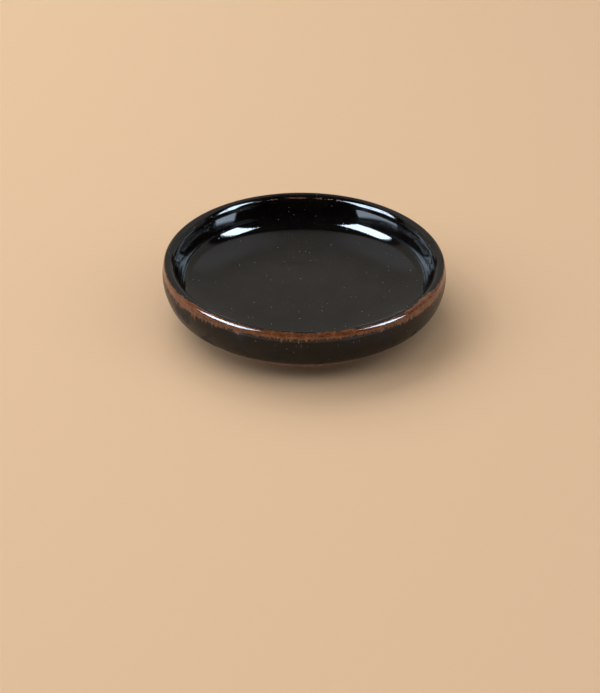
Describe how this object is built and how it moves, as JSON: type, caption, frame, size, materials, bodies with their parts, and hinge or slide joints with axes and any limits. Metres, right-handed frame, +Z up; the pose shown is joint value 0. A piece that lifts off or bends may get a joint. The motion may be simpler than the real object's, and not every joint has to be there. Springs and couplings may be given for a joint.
{
  "type": "soy sauce dish",
  "caption": "Low round stoneware dish for soy sauce: dished well, rounded lip and trimmed foot ring, under a glossy black glaze that breaks to brown at the rim.",
  "frame": {"origin": "centre of the circle that the foot ring stands on", "axes": "+Z up, along the dish's axis of revolution; -Y towards the picture's viewer"},
  "size_m": [0.095, 0.095, 0.0204],
  "materials": {
    "stoneware": "fired, bare, matte",
    "black_glaze": "glossy",
    "rim_glaze": "glossy, thin, rust brown"
  },
  "bodies": {
    "root": {"stoneware_body": "stoneware", "well_glaze": "black_glaze", "rim_band_glaze": "rim_glaze", "outer_glaze": "black_glaze", "foot_recess_glaze": "black_glaze"}
  },
  "joints": []
}
